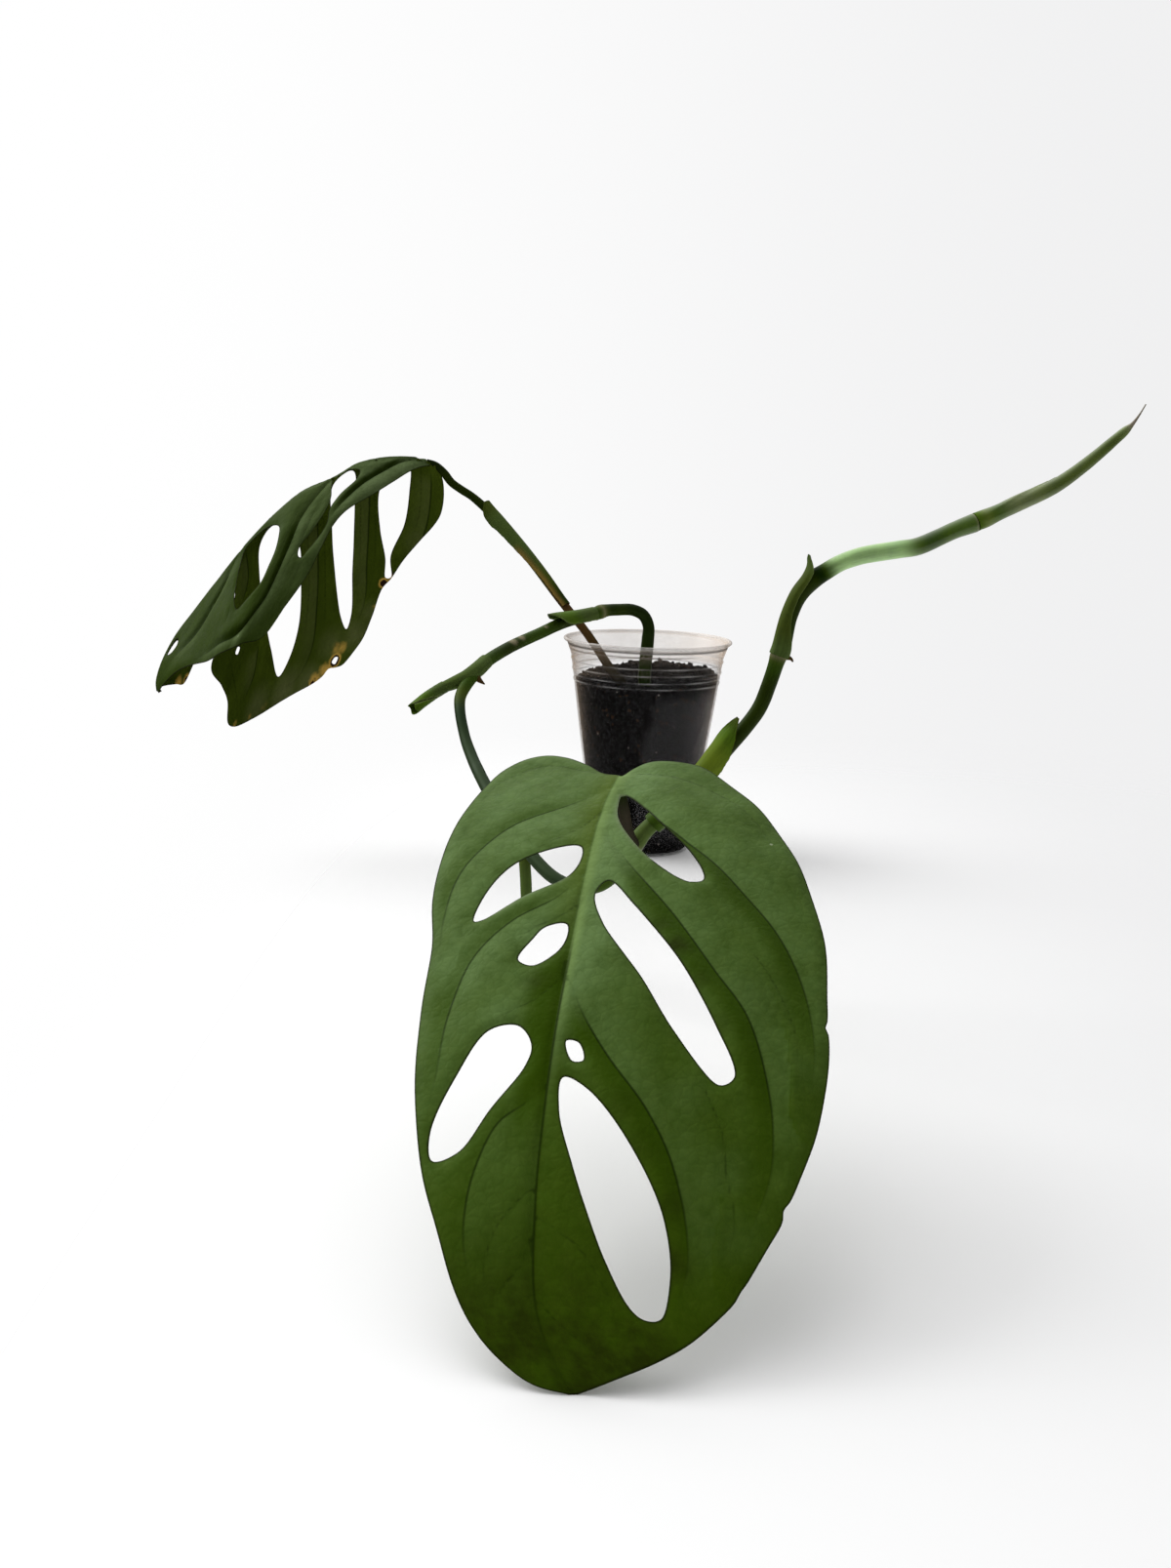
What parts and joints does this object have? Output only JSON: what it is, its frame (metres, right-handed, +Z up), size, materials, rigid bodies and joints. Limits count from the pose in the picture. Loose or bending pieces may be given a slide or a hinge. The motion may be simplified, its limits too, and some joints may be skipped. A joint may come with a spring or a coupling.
{
  "type": "potted monstera epipremnoides",
  "caption": "Climbing aroid in a clear plastic cup of soil, with an arching vine, a large split leaf in front, a folded split leaf behind and a rolled new leaf.",
  "frame": {"origin": "middle of the cup's flat underside, on the surface that the plant stands on", "axes": "+Z up; +X to the viewer's right, towards the new leaf; +Y away from the viewer, so that the large leaf comes forward along -Y"},
  "size_m": [0.4635, 0.6408, 0.2542],
  "materials": {
    "clear_plastic": "clear gloss",
    "soil": "moist and crumbly",
    "vine": "waxy",
    "sheath": "satin",
    "dry_sheath": "dry and papery",
    "new_growth": "waxy",
    "petiole": "waxy",
    "leaf": "satin",
    "dark_leaf": "satin"
  },
  "bodies": {
    "root": {"clear_cup": "clear_plastic", "potting_soil": "soil", "main_vine": "vine", "arch_sheath": "sheath", "right_sheath": "sheath", "upper_sheath": "sheath", "rolled_new_leaf": "new_growth", "cut_petiole_left": "petiole", "cut_petiole_low": "petiole", "front_petiole": "petiole", "front_leaf": "leaf", "back_stem": "vine", "back_sheath": "dry_sheath", "back_petiole": "petiole", "back_leaf": "dark_leaf"}
  },
  "joints": []
}
